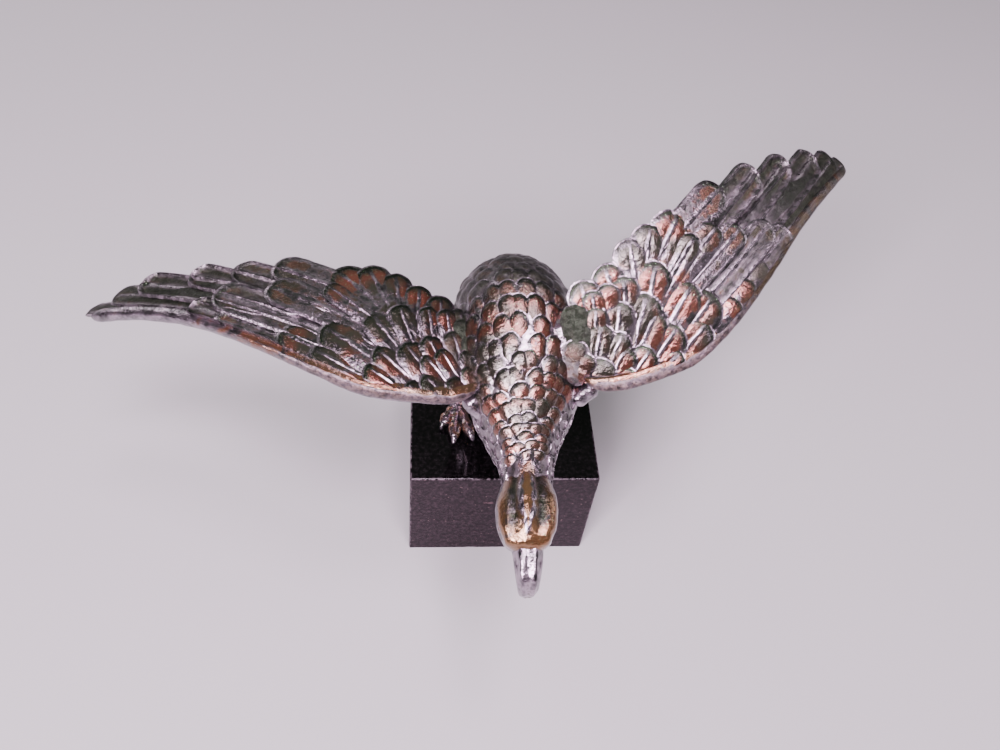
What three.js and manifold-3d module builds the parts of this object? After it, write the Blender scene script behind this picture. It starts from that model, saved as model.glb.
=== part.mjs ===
// Eagle hood ornament standing on a square granite block.
// Millimetres, +Z up. The bird faces -Y, and the origin is the middle of the block's underside.

import * as THREE from 'three';
import { mergeVertices } from 'three/addons/utils/BufferGeometryUtils.js';
import Module from 'manifold-3d';

// Block: its square side, height, and the narrow bevel on its edges.
const blockWidth = 50.8;
const blockHeight = 36.8;
const blockBevel = 0.5;
const seatGap = 0.3;

// The bird leans a little over to its right and is turned a little.
const birdLean = 5;
const birdTurn = 3;

// Body and neck, from the rump to the nape: each station has its point on the back and
// its point on the belly, as y and z, half its width, and the x of its middle.
const bodyLine = [
  { back: [17, 62], belly: [11, 56], halfWidth: 5.5, middle: 0 },
  { back: [14.5, 72.5], belly: [7, 55], halfWidth: 9.5, middle: 0 },
  { back: [9, 84.5], belly: [1, 54], halfWidth: 12.8, middle: 0 },
  { back: [0, 93], belly: [-6, 54], halfWidth: 15, middle: -0.3 },
  { back: [-10, 96], belly: [-13, 55], halfWidth: 15, middle: 0.1 },
  { back: [-21, 92.2], belly: [-23, 57.5], halfWidth: 14.6, middle: 0.7 },
  { back: [-31, 86.6], belly: [-33, 61], halfWidth: 11.6, middle: 0.4 },
  { back: [-38.5, 82], belly: [-41, 64], halfWidth: 7.9, middle: 0.1 },
  { back: [-44.5, 79.3], belly: [-46, 66.5], halfWidth: 6, middle: 0.2 },
  { back: [-49.5, 77.6], belly: [-50, 67.2], halfWidth: 5.3, middle: 0.1 },
  { back: [-54, 77], belly: [-54, 67.5], halfWidth: 4.6, middle: -0.2 },
];

// Head: a pear shape on the end of the neck, then the hooked beak, by the same stations.
const headLine = [
  { back: [-46.5, 76], belly: [-47, 68], halfWidth: 4, middle: 0.1 },
  { back: [-51.5, 78], belly: [-51, 66.8], halfWidth: 5.8, middle: -0.2 },
  { back: [-56.5, 78.8], belly: [-55, 65.8], halfWidth: 6.8, middle: -0.5 },
  { back: [-61, 77.8], belly: [-58.5, 65.6], halfWidth: 6.6, middle: -0.6 },
  { back: [-64.6, 75.6], belly: [-61.5, 66], halfWidth: 5.2, middle: -0.7 },
  { back: [-66.4, 73.6], belly: [-63.5, 66.8], halfWidth: 3.4, middle: -0.7 },
];
const beakLine = [
  { back: [-58, 75.4], belly: [-57, 67], halfWidth: 3.6, middle: -0.7 },
  { back: [-63.5, 75.2], belly: [-62, 66.4], halfWidth: 3.6, middle: -0.7 },
  { back: [-68.2, 73.2], belly: [-66.5, 66], halfWidth: 3.3, middle: -0.7 },
  { back: [-71.4, 70], belly: [-69.4, 65.4], halfWidth: 2.7, middle: -0.7 },
  { back: [-72.6, 66], belly: [-70.4, 63.8], halfWidth: 2.1, middle: -0.6 },
  { back: [-71.8, 62.4], belly: [-71.2, 62.4], halfWidth: 1.2, middle: -0.5 },
];
const brow = { from: [2.8, -51.5, 76], to: [3.7, -63.4, 75], startRadius: 1.7, endRadius: 1.7 };
const eyeRadius = 1.2;
const eyePlace = [5.1, -60.2, 71.2];
const headMiddle = -0.6;

// Wings: one flat plan for both, measured outward and backward from the shoulder, and
// arched down towards the tip. Each wing has its own angles and its own outer feathers,
// and the left one a fuller wrist.
const shoulderPlace = [1.6, -30.4, 80];
const shoulderHalfWidth = 13.2;
const wingArchRadius = 113;
const wingLength = 100;
const wristPlace = { out: 38, reach: 28 };
const featherSetBack = 0.9;
const wingAngles = {
  left: { side: 1, sweep: 22, raise: 28, pitch: 46, bulge: 1.3 },
  right: { side: -1, sweep: 21, raise: 26, pitch: 8.5, bulge: 0 },
};
const primaryTips = {
  left: [[54.5, 15], [66, 12], [76, 8.2], [86.4, 2.7], [94.6, -2.8]],
  right: [[55.3, 13.8], [64.4, 10.2], [74.6, 6.8], [86.6, 2.6], [93.4, -1.2], [99, -6.8]],
};
const leadingEdge = [
  [0, -0.3], [5, -4.4], [12, -7.4], [22, -10.4], [34, -10], [50, -8], [68, -6.4], [84, -7], [97, -8.4],
];
const slabTrailingEdge = [
  [0, 12], [12, 15], [30, 13], [46, 10], [62, 6], [78, 1], [92, -5],
];
const rimRadiusAtShoulder = 2.2;
const rimRadiusAtTip = 0.9;
const skinAtShoulder = 2.6;
const skinAtBack = 0.5;
const shoulderMuscles = [
  { from: [0, 2, -4], to: [9.6, 17.4, -2.8], startRadius: 5.4, endRadius: 3.6 },
  { from: [-8, 7, -4.5], to: [7, 15, -3.4], startRadius: 4.6, endRadius: 3.8 },
  { from: [1.4, -0.7, -0.4], to: [-5, -0.8, -2.6], startRadius: 2, endRadius: 2.4 },
];

// Rows of wing feathers. The tips of a row lie on a curve through the places given, from
// the inner one to the outer one, and so do the sizes from the first to the second value.
const wingFeatherRows = [
  {
    tips: [[13, 20.8], [20.3, 20.5], [28.2, 21.2], [34.6, 20.6], [41.8, 17.6]],
    count: 5, length: [15, 20], width: [7.6, 7.4], lift: 0,
  },
  {
    tips: [[12.8, 18], [23.5, 13.6], [35.5, 10.6]],
    count: 5, length: [10, 12], width: [6.8, 6.6], lift: 0.6,
  },
  {
    tips: [[43, 10.4], [54, 5.4], [66, -1], [79, -4.4]],
    count: 5, length: [16, 30], width: [5.4, 4.6], lift: 0.6,
  },
  {
    tips: [[9, 14.6], [18, 10.8], [28, 7], [38, 1.4], [46, -4]],
    count: 6, length: [9, 14], width: [6.4, 5.8], lift: 0.9,
  },
  {
    tips: [[6.5, 10], [14, 7.4], [23.5, 2.8], [36.5, -5.4]],
    count: 5, length: [8, 14], width: [6.4, 6], lift: 1.2,
  },
  {
    tips: [[4.5, 6], [10.5, 3.2], [22.5, -5.8]],
    count: 4, length: [7.5, 10], width: [6, 5.6], lift: 1.4,
  },
  {
    tips: [[5, 1.5], [14, -4.6]],
    count: 3, length: [6, 8], width: [5.6, 5], lift: 1.5,
  },
];
const primaryRow = { length: [26, 43], width: [6.8, 6], lift: 0 };
const featherBack = { inner: 74, outer: 4, atTip: -4 };

// Scale feathers on the back and neck, in rows that step sideways.
const backRows = { first: 0.12, last: 0.85, count: 11 };
const backScale = { spread: 138, length: 9.2, width: 7.3, dome: 1.1 };
const backLength = 104;

// Tail: a fan of feathers that slopes down behind the rump.
const tail = { root: [1.2, 8, 66], slope: 52, count: 7, fan: 50, length: 30, width: 7, thickness: 1.3 };

// Legs: feathered thigh, bare shank, three front toes and one behind, each with a claw.
const legs = {
  hip: [7, -5, 63],
  ankle: [9.4, -2, 40],
  hipMiddle: 1,
  ankleMiddle: -3.2,
  thighRadius: 7.4,
  kneeRadius: 3.6,
  shankRadius: 2.6,
  toeRadius: 1.75,
  padRadius: 2.6,
  clawLength: 0.9,
  // heading in degrees outward from straight ahead, and length
  toes: [[-20, 11.6], [5, 11.9], [31, 8.2], [172, 4.6]],
};

// A feather's outline: how far back from its tip each ring lies, in widths or in lengths,
// and how wide the feather is there. Short feathers do without the ring near the root.
const longFeatherRings = [
  { widths: 0, lengths: 1, spread: 0 },
  { widths: 0, lengths: 0.6, spread: 0.9 },
  { widths: 0.46, lengths: 0, spread: 1 },
  { widths: 0.12, lengths: 0, spread: 0.74 },
  { widths: 0, lengths: 0, spread: 0 },
];
const shortFeatherRings = [
  { widths: 0, lengths: 1, spread: 0 },
  { widths: 0.55, lengths: 0, spread: 1 },
  { widths: 0.14, lengths: 0, spread: 0.78 },
  { widths: 0, lengths: 0, spread: 0 },
];

const wasm = await Module();
wasm.setup();

const radians = THREE.MathUtils.degToRad;

// A smooth curve through points given as lists of two or three sizes.
function curveThrough(points) {
  return new THREE.CatmullRomCurve3(points.map(([x, y, z = 0]) => new THREE.Vector3(x, y, z)));
}

// A closed form made from a ball: place gives the new spot of each vertex from how far
// along it lies (0 to 1, pole to pole) and from its direction around the axis, which is
// zero at the poles.
function formedBall(around, along, place) {
  const ball = new THREE.SphereGeometry(1, around, along);
  const position = ball.attributes.position;
  const vertex = new THREE.Vector3();
  for (let index = 0; index < position.count; index += 1) {
    vertex.fromBufferAttribute(position, index);
    const t = 1 - Math.acos(THREE.MathUtils.clamp(vertex.y, -1, 1)) / Math.PI;
    const reach = Math.hypot(vertex.x, vertex.z);
    const side = reach < 1e-6 ? 0 : vertex.x / reach;
    const up = reach < 1e-6 ? 0 : vertex.z / reach;
    const spot = place(t, side, up);
    position.setXYZ(index, spot.x, spot.y, spot.z);
  }
  return ball;
}

// Merges a geometry's shared vertices and makes it a solid with its faces pointing out.
function toSolid(geometry) {
  const bare = new THREE.BufferGeometry();
  bare.setAttribute('position', geometry.attributes.position);
  bare.setIndex(geometry.index);
  const welded = mergeVertices(bare, 1e-4);
  const vertices = welded.attributes.position.array;
  const corners = Array.from(welded.index.array);
  let volume = 0;
  const [a, b, c] = [new THREE.Vector3(), new THREE.Vector3(), new THREE.Vector3()];
  for (let index = 0; index < corners.length; index += 3) {
    a.fromArray(vertices, 3 * corners[index]);
    b.fromArray(vertices, 3 * corners[index + 1]);
    c.fromArray(vertices, 3 * corners[index + 2]);
    volume += a.dot(b.cross(c));
  }
  const outward = volume > 0 ? corners : corners.reverse();
  return new wasm.Manifold(new wasm.Mesh({
    numProp: 3,
    vertProperties: Float32Array.from(vertices),
    triVerts: Uint32Array.from(outward),
  }));
}

function toGeometry(solid) {
  const mesh = solid.getMesh();
  const geometry = new THREE.BufferGeometry();
  geometry.setAttribute('position', new THREE.BufferAttribute(mesh.vertProperties, 3));
  geometry.setIndex(new THREE.BufferAttribute(mesh.triVerts, 1));
  return geometry;
}

function joined(geometries) {
  return geometries.map(toSolid).reduce((whole, next) => whole.add(next));
}

// A surface over a line of stations: t runs from the first station to the last, turn
// goes around from the top in radians, and lift is the height above the surface.
function stationSurface(line) {
  const backs = curveThrough(line.map(({ back, middle }) => [middle, ...back]));
  const bellies = curveThrough(line.map(({ belly, middle }) => [middle, ...belly]));
  const widths = curveThrough(line.map(({ halfWidth }, index) => [index, halfWidth]));
  const sideways = new THREE.Vector3(Math.cos(radians(birdLean)), 0, Math.sin(radians(birdLean)));
  return (t, turn, lift = 0, spread = 1) => {
    const inside = THREE.MathUtils.clamp(t, 0, 1);
    const back = backs.getPoint(inside);
    const upward = bellies.getPoint(inside).sub(back).multiplyScalar(-0.5);
    const centre = back.clone().sub(upward);
    const halfWidth = widths.getPoint(inside).y * spread + lift;
    const halfHeight = upward.length() * spread + lift;
    upward.normalize();
    upward.addScaledVector(sideways, -upward.dot(sideways)).normalize();
    return centre
      .addScaledVector(sideways, halfWidth * Math.sin(turn))
      .addScaledVector(upward, halfHeight * Math.cos(turn));
  };
}

const bodySurface = stationSurface(bodyLine);

// The closed form over a line of stations, its ends rounded in by the last rings.
function stationLoft(line, around, along) {
  const surface = stationSurface(line);
  return formedBall(around, along, (t, side, up) => {
    const spread = Math.min(1, Math.sin(Math.PI * t) * 4);
    return surface(t, Math.atan2(side, up), 0, spread);
  });
}

function backAt(points, out) {
  const curve = curveThrough(points);
  let low = 0;
  let high = 1;
  for (let step = 0; step < 20; step += 1) {
    const middle = (low + high) / 2;
    if (curve.getPoint(middle).x < out) low = middle;
    else high = middle;
  }
  return curve.getPoint(low).y;
}

function wingSkin(out, back) {
  const toBack = THREE.MathUtils.clamp((back + 9) / 28, 0, 1);
  const toTip = THREE.MathUtils.clamp(out / wingLength, 0, 1);
  return THREE.MathUtils.lerp(skinAtShoulder, skinAtBack, toBack) * THREE.MathUtils.lerp(1, 0.5, toTip);
}

function wingPlacer({ side, sweep, raise, pitch, bulge }) {
  const turned = new THREE.Matrix4().makeRotationZ(radians(sweep))
    .multiply(new THREE.Matrix4().makeRotationY(-radians(raise)))
    .multiply(new THREE.Matrix4().makeRotationX(radians(pitch)));
  const bird = new THREE.Matrix4().makeRotationZ(radians(birdTurn))
    .multiply(new THREE.Matrix4().makeRotationY(-radians(birdLean)));
  return (out, back, height) => {
    const arch = -out / wingArchRadius;
    const nearWrist = Math.exp(-(((out - wristPlace.out) / wristPlace.reach) ** 2));
    const nearFront = THREE.MathUtils.clamp(-back / 8, 0, 1);
    const place = new THREE.Vector3(
      -Math.sin(arch) * wingArchRadius - height * Math.sin(arch),
      back - bulge * nearWrist * nearFront,
      -(1 - Math.cos(arch)) * wingArchRadius + height * Math.cos(arch),
    );
    place.applyMatrix4(turned);
    place.x = side * (place.x + shoulderHalfWidth);
    return place.applyMatrix4(bird).add(new THREE.Vector3(...shoulderPlace));
  };
}

// How far a wing feather points backward from straight outward, in degrees.
function featherAngle(out, back) {
  const toBack = THREE.MathUtils.clamp((back + 10) / 31, 0, 1) ** 1.3;
  const inner = 1 - THREE.MathUtils.smoothstep(out, 18, 54);
  const pastWrist = THREE.MathUtils.smoothstep(out, 75, 100);
  const outer = THREE.MathUtils.lerp(featherBack.outer, featherBack.atTip, pastWrist);
  return outer + (featherBack.inner - outer) * toBack * inner;
}

// One feather: a long leaf with a round tip and a ridge along it. surface gives the point
// for a place in the plan and a height; the leaf rises from its root to its tip.
function feather({ tip, angle, length, width, rootSink, tipRise, dome, under, outline }, surface) {
  const outward = new THREE.Vector2(Math.cos(radians(angle)), Math.sin(radians(angle)));
  const across = new THREE.Vector2(outward.y, -outward.x);
  const rings = outline.length - 1;
  return formedBall(4, rings, (t, side, up) => {
    const ring = outline[Math.round(t * rings)];
    const back = ring.widths * width + ring.lengths * length;
    const halfWidth = (width / 2) * ring.spread * side;
    const rise = THREE.MathUtils.lerp(tipRise, rootSink, back / length);
    const height = rise + ring.spread * (up > 0 ? dome * up : under * up);
    return surface(
      tip.x - outward.x * back + across.x * halfWidth,
      tip.y - outward.y * back + across.y * halfWidth,
      height,
    );
  });
}

// The flat part of a wing under its feathers.
function wingSlab(place) {
  const slab = new THREE.BoxGeometry(1, 1, 1, 10, 2, 1);
  const position = slab.attributes.position;
  for (let index = 0; index < position.count; index += 1) {
    const out = THREE.MathUtils.lerp(0, wingLength * 0.9, position.getX(index) + 0.5);
    const front = backAt(leadingEdge, out) + 0.6;
    const back = THREE.MathUtils.lerp(front, backAt(slabTrailingEdge, out), position.getY(index) + 0.5);
    const skin = wingSkin(out, back);
    const spot = place(out, back, position.getZ(index) > 0 ? skin : -0.5 * skin - 0.4);
    position.setXYZ(index, spot.x, spot.y, spot.z);
  }
  return slab;
}

// The rounded rim along a wing's leading edge.
function wingRim(place) {
  const edge = curveThrough(leadingEdge);
  return formedBall(5, 10, (t, side, up) => {
    const spot = edge.getPoint(t);
    const radius = THREE.MathUtils.lerp(rimRadiusAtShoulder, rimRadiusAtTip, t);
    const spread = Math.min(1, Math.sin(Math.PI * t) * 5);
    return place(spot.x, spot.y + radius * (1 + spread * side), radius * (0.2 + spread * up));
  });
}

function wingFeathers(place, outerTips) {
  const onSkin = (out, back, height) => {
    const behindRim = Math.max(back, backAt(leadingEdge, out) + featherSetBack);
    return place(out, behindRim, wingSkin(out, behindRim) + height);
  };
  const rows = [...wingFeatherRows, { ...primaryRow, tips: outerTips, count: outerTips.length }];
  return rows.flatMap((row) => {
    const tips = curveThrough(row.tips);
    const flight = row.lift === 0;
    return Array.from({ length: row.count }, (_, index) => {
      const t = index / (row.count - 1);
      const tip = tips.getPoint(t);
      return feather({
        tip,
        angle: featherAngle(tip.x, tip.y),
        length: THREE.MathUtils.lerp(...row.length, t),
        width: THREE.MathUtils.lerp(...row.width, t),
        rootSink: flight ? -0.3 : -0.9,
        tipRise: flight ? -0.4 : 0.4 * row.lift,
        dome: flight ? 0.8 : 1,
        under: flight ? 1.4 : 0.9,
        outline: flight ? longFeatherRings : shortFeatherRings,
      }, onSkin);
    });
  });
}

function wingParts(angles, outerTips) {
  const place = wingPlacer(angles);
  const muscles = shoulderMuscles.map(({ from, to, startRadius, endRadius }) => (
    limb(place(...from), place(...to), startRadius, endRadius, 6, 4)
  ));
  return [wingSlab(place), wingRim(place), ...muscles, ...wingFeathers(place, outerTips)];
}

// Scale feathers that lie on the back and neck, their free ends towards the tail.
function backScales() {
  const widths = curveThrough(bodyLine.map(({ halfWidth }, index) => [index, halfWidth]));
  return Array.from({ length: backRows.count }, (_, row) => {
    const t = THREE.MathUtils.lerp(backRows.first, backRows.last, row / (backRows.count - 1));
    const round = widths.getPoint(t).y;
    const small = THREE.MathUtils.clamp(round / 12, 0.6, 1);
    const count = Math.round((radians(backScale.spread) * round) / (backScale.width * small)) + (row % 2);
    return Array.from({ length: count }, (_unused, index) => {
      const turn = radians(backScale.spread) * ((index + 0.5) / count - 0.5);
      return feather({
        tip: new THREE.Vector2(0, 0),
        angle: 90,
        length: backScale.length * small,
        width: backScale.width * small * 1.1,
        rootSink: -0.9,
        tipRise: 0.1,
        dome: backScale.dome * small,
        under: 0.8,
        outline: shortFeatherRings,
      }, (out, back, height) => bodySurface(t - back / backLength, turn + out / round, height));
    });
  }).flat();
}

function tailFeathers() {
  const [rootX, rootY, rootZ] = tail.root;
  const down = radians(tail.slope);
  return Array.from({ length: tail.count }, (_, index) => {
    const part = index / (tail.count - 1) - 0.5;
    const outer = Math.abs(part) * 2;
    const angle = 90 - tail.fan * part;
    const length = tail.length * (1 - 0.12 * outer);
    const tip = new THREE.Vector2(Math.cos(radians(angle)), Math.sin(radians(angle))).multiplyScalar(length);
    return feather({
      tip,
      angle,
      length,
      width: tail.width,
      rootSink: 0,
      tipRise: 0,
      dome: tail.thickness,
      under: tail.thickness,
      outline: shortFeatherRings,
    }, (out, back, height) => new THREE.Vector3(
      rootX + out,
      rootY + back * Math.cos(down) + height * Math.sin(down),
      rootZ - back * Math.sin(down) + height * Math.cos(down),
    ));
  });
}

// A tapering limb between two points, rounded at both ends.
function limb(from, to, startRadius, endRadius, around, along = 5) {
  const forward = new THREE.Vector3().subVectors(to, from).normalize();
  const level = Math.abs(forward.x) > 0.9 ? new THREE.Vector3(0, 1, 0) : new THREE.Vector3(1, 0, 0);
  const sideways = level.cross(forward).normalize();
  const upward = new THREE.Vector3().crossVectors(forward, sideways);
  return formedBall(around, along, (t, side, up) => {
    const radius = THREE.MathUtils.lerp(startRadius, endRadius, t) * Math.min(1, Math.sin(Math.PI * t) * 1.6);
    return new THREE.Vector3().lerpVectors(from, to, t)
      .addScaledVector(sideways, side * radius)
      .addScaledVector(upward, up * radius);
  });
}

function legParts(side) {
  const hip = new THREE.Vector3(legs.hipMiddle + side * legs.hip[0], legs.hip[1], legs.hip[2]);
  const toeHeight = blockHeight + seatGap + legs.toeRadius;
  const ankle = new THREE.Vector3(legs.ankleMiddle + side * legs.ankle[0], legs.ankle[1], toeHeight);
  const knee = new THREE.Vector3().lerpVectors(hip, ankle, 0.72);
  const padHeight = blockHeight + seatGap + legs.padRadius;
  const parts = [
    new THREE.SphereGeometry(legs.padRadius, 6, 4).translate(ankle.x, ankle.y, padHeight),
    limb(hip.clone().lerp(ankle, -0.35), knee, legs.thighRadius, legs.kneeRadius, 7),
    limb(hip, ankle, legs.shankRadius, legs.shankRadius, 6, 4),
  ];
  for (const [splay, reach] of legs.toes) {
    const heading = radians(splay);
    const forward = new THREE.Vector3(side * Math.sin(heading), -Math.cos(heading), 0);
    const toeEnd = ankle.clone().addScaledVector(forward, reach);
    const clawStart = ankle.clone().addScaledVector(forward, reach - 1.5);
    const clawEnd = toeEnd.clone().addScaledVector(forward, legs.clawLength);
    clawEnd.z = blockHeight + seatGap + 0.4;
    parts.push(limb(ankle, toeEnd, legs.toeRadius, legs.toeRadius, 6, 3));
    parts.push(limb(clawStart, clawEnd, legs.toeRadius * 0.75, 0.4, 4, 3));
  }
  return parts;
}

function headParts() {
  const sided = [-1, 1].flatMap((side) => {
    const [fromSide, ...fromRest] = brow.from;
    const [toSide, ...toRest] = brow.to;
    const [eyeSide, ...eyeRest] = eyePlace;
    return [
      limb(
        new THREE.Vector3(headMiddle + side * fromSide, ...fromRest),
        new THREE.Vector3(headMiddle + side * toSide, ...toRest),
        brow.startRadius,
        brow.endRadius,
        6,
      ),
      new THREE.SphereGeometry(eyeRadius, 6, 4).translate(headMiddle + side * eyeSide, ...eyeRest),
    ];
  });
  return [stationLoft(headLine, 12, 8), stationLoft(beakLine, 8, 7), ...sided];
}

function eagleSolid() {
  return joined([
    stationLoft(bodyLine, 14, 16),
    ...headParts(),
    ...wingParts(wingAngles.left, primaryTips.left),
    ...wingParts(wingAngles.right, primaryTips.right),
    ...backScales(),
    ...tailFeathers(),
    ...legParts(-1),
    ...legParts(1),
  ]);
}

// The block, with a narrow bevel along every edge.
function blockGeometry() {
  const inset = blockWidth / 2 - blockBevel;
  const outline = new THREE.Shape([
    new THREE.Vector2(-inset, -inset),
    new THREE.Vector2(inset, -inset),
    new THREE.Vector2(inset, inset),
    new THREE.Vector2(-inset, inset),
  ]);
  return new THREE.ExtrudeGeometry(outline, {
    depth: blockHeight - 2 * blockBevel,
    bevelThickness: blockBevel,
    bevelSize: blockBevel,
    bevelSegments: 1,
  }).translate(0, 0, blockBevel);
}

const wornPlate = new THREE.MeshStandardMaterial({
  color: '#8d837f',
  roughness: 0.34,
  metalness: 1,
  flatShading: true,
});
const blackGranite = new THREE.MeshStandardMaterial({ color: '#1c1a1b', roughness: 0.2, metalness: 0 });

const eagle = new THREE.Mesh(toGeometry(eagleSolid()), wornPlate);
eagle.name = 'eagle';

const graniteBase = new THREE.Mesh(blockGeometry(), blackGranite);
graniteBase.name = 'granite_base';

const ornament = new THREE.Group();
ornament.add(graniteBase, eagle);

export default ornament;
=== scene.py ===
import bpy
import numpy as np
from mathutils import Matrix, Vector, noise


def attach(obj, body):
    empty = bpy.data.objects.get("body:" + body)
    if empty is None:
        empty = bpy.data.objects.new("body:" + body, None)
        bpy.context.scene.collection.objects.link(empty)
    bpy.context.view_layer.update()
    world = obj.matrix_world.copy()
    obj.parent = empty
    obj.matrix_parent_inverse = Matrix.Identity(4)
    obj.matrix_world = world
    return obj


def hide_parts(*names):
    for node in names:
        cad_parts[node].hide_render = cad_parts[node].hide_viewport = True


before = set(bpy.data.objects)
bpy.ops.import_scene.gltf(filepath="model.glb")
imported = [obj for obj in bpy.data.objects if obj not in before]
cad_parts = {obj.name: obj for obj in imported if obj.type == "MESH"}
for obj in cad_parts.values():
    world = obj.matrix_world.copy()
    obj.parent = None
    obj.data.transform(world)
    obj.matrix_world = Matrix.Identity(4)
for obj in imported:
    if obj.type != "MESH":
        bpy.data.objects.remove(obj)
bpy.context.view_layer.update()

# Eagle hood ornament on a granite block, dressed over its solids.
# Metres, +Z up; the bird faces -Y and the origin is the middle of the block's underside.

scene = bpy.context.scene
MM = 0.001


# The view.
# The camera looks down on the bird from in front, a little from its right.

view_place = Vector((-25.18, -155.63, 237.05)) * MM
view_yaw, view_down, view_roll = np.radians([-8.73, 49.99, 7.31])
view_forward = Vector((
    -np.sin(view_yaw) * np.cos(view_down),
    np.cos(view_yaw) * np.cos(view_down),
    -np.sin(view_down),
))
level = Vector((np.cos(view_yaw), np.sin(view_yaw), 0))
upright = level.cross(view_forward)
view_right = np.cos(view_roll) * level + np.sin(view_roll) * upright
view_up = np.cos(view_roll) * upright - np.sin(view_roll) * level

camera = bpy.data.objects.new("camera", bpy.data.cameras.new("camera"))
camera.data.sensor_width = 36
camera.data.lens = 32.4
camera.data.clip_start = 0.005
camera.matrix_world = Matrix((view_right, view_up, -view_forward)).transposed().to_4x4()
camera.matrix_world.translation = view_place
scene.collection.objects.link(camera)
scene.camera = camera


# The table and the light.
# A pale lilac-grey table top and pinkish light from windows: one at the viewer's left
# and two overhead. Weak light comes back from the walls, and the room itself is dim.

floor_half = 2.5
floor_corners = [(x * floor_half, y * floor_half, 0) for x, y in ((-1, -1), (1, -1), (1, 1), (-1, 1))]
floor_mesh = bpy.data.meshes.new("table_top")
floor_mesh.from_pydata(floor_corners, [], [(0, 1, 2, 3)])
table_top = bpy.data.objects.new("table_top", floor_mesh)
scene.collection.objects.link(table_top)
table_paint = bpy.data.materials.new("table_paint")
table_paint.use_nodes = True
table_shader = table_paint.node_tree.nodes["Principled BSDF"]
table_shader.inputs["Base Color"].default_value = (0.385, 0.396, 0.385, 1)
table_shader.inputs["Roughness"].default_value = 0.8
floor_mesh.materials.append(table_paint)

lit_spot = Vector((0, -0.02, 0.06))


def soft_light(name, place, wide, high, watts, colour):
    lamp = bpy.data.lights.new(name, "AREA")
    lamp.shape = "RECTANGLE"
    lamp.size, lamp.size_y = wide, high
    lamp.energy = watts
    lamp.color = colour
    holder = bpy.data.objects.new(name, lamp)
    aim = lit_spot - Vector(place)
    holder.rotation_euler = aim.to_track_quat("-Z", "Y").to_euler()
    holder.location = place
    scene.collection.objects.link(holder)


soft_light("window", (-0.34, -0.56, 0.54), 0.28, 0.24, 17, (1, 0.79, 0.98))
soft_light("skylight", (0.05, -0.33, 0.78), 0.24, 0.19, 10.5, (1, 0.77, 0.98))
soft_light("ceiling", (0.08, -0.06, 0.85), 0.16, 0.12, 2.4, (1, 0.79, 0.98))
soft_light("left_wall", (-0.5, -0.4, 0.5), 0.4, 0.3, 0.6, (1, 0.9, 0.98))
soft_light("right_wall", (0.5, -0.4, 0.5), 0.4, 0.3, 0.3, (1, 0.9, 0.98))
soft_light("left_behind", (-0.55, 0.55, 0.36), 0.2, 0.14, 1, (1, 0.88, 0.97))
soft_light("right_behind", (0.75, 0.16, 0.36), 0.2, 0.14, 1, (1, 0.88, 0.97))
soft_light("back_wall", (-0.1, 0.75, 0.85), 1.2, 0.9, 1, (0.85, 1, 0.85))

room = bpy.data.worlds.new("room")
room.use_nodes = True
room.node_tree.nodes["Background"].inputs["Color"].default_value = (0.36, 0.48, 0.36, 1)
room.node_tree.nodes["Background"].inputs["Strength"].default_value = 0.1
scene.world = room


# Granite block.
# A square block of black granite, sawn, polished on top and honed on its sides, with
# narrow worn edges. The bird stands on it.

block_half = np.array([25.4, 25.4, 18.4])
block_top = 2 * block_half[2]
block_edge = 0.5
chip_start, chip_depth, fine_chips = 0.28, 0.9, 0.05
# A light scratch on the front face: along each axis its middle, and the distances from
# there at which it has faded out and is still full.
scratch_places = {"X": (-3.9, 1.7, 1), "Z": (25, 0.6, 0.2)}
granite_colours = {
    "honed": ((0.01, 0.0068, 0.0085), (0.033, 0.0225, 0.027)),
    "polished": ((0.0012, 0.0011, 0.0012), (0.006, 0.005, 0.0056)),
    "fleck": (0.15, 0.1, 0.1),
    "scratch": (0.085, 0.05, 0.056),
    "worn edge": (0.3, 0.25, 0.28),
}


def shader_tree(name):
    material = bpy.data.materials.new(name)
    material.use_nodes = True
    return material, material.node_tree, material.node_tree.nodes["Principled BSDF"]


def put(tree, kind, inputs=None, **settings):
    """A new node; an input's value is a number, a colour, or the socket that feeds it."""
    node = tree.nodes.new(kind)
    for setting, value in settings.items():
        setattr(node, setting, value)
    for key, value in (inputs or {}).items():
        if isinstance(value, bpy.types.NodeSocket):
            tree.links.new(value, node.inputs[key])
        else:
            node.inputs[key].default_value = value
    return node


def maths(tree, operation, *values):
    node = put(tree, "ShaderNodeMath", dict(enumerate(values)), operation=operation)
    return node.outputs[0]


def product(tree, value, *factors):
    for factor in factors:
        value = maths(tree, "MULTIPLY", value, factor)
    return value


def fade(tree, value, low, high):
    """0 at low, 1 at high, smooth between; low may be the larger of the two."""
    inputs = {"Value": value, "From Min": low, "From Max": high}
    return put(tree, "ShaderNodeMapRange", inputs, interpolation_type="SMOOTHSTEP").outputs["Result"]


def spots(tree, place, scale, detail, roughness=0.5):
    """An uneven pattern around 0.5; scale is in spots to the metre."""
    inputs = {"Vector": place, "Scale": scale, "Detail": detail, "Roughness": roughness}
    return put(tree, "ShaderNodeTexNoise", inputs).outputs["Fac"]


def blend_colours(tree, share, first, second):
    first, second = (
        colour if isinstance(colour, bpy.types.NodeSocket) else (*colour, 1) for colour in (first, second)
    )
    return put(tree, "ShaderNodeMix", {0: share, 6: first, 7: second}, data_type="RGBA").outputs[2]


def mesh_object(name, points, faces):
    mesh = bpy.data.meshes.new(name)
    mesh.from_pydata([tuple(point) for point in points], [], [tuple(map(int, face)) for face in faces])
    mesh.validate()
    mesh.shade_smooth()
    piece = bpy.data.objects.new(name, mesh)
    scene.collection.objects.link(piece)
    return piece


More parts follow.
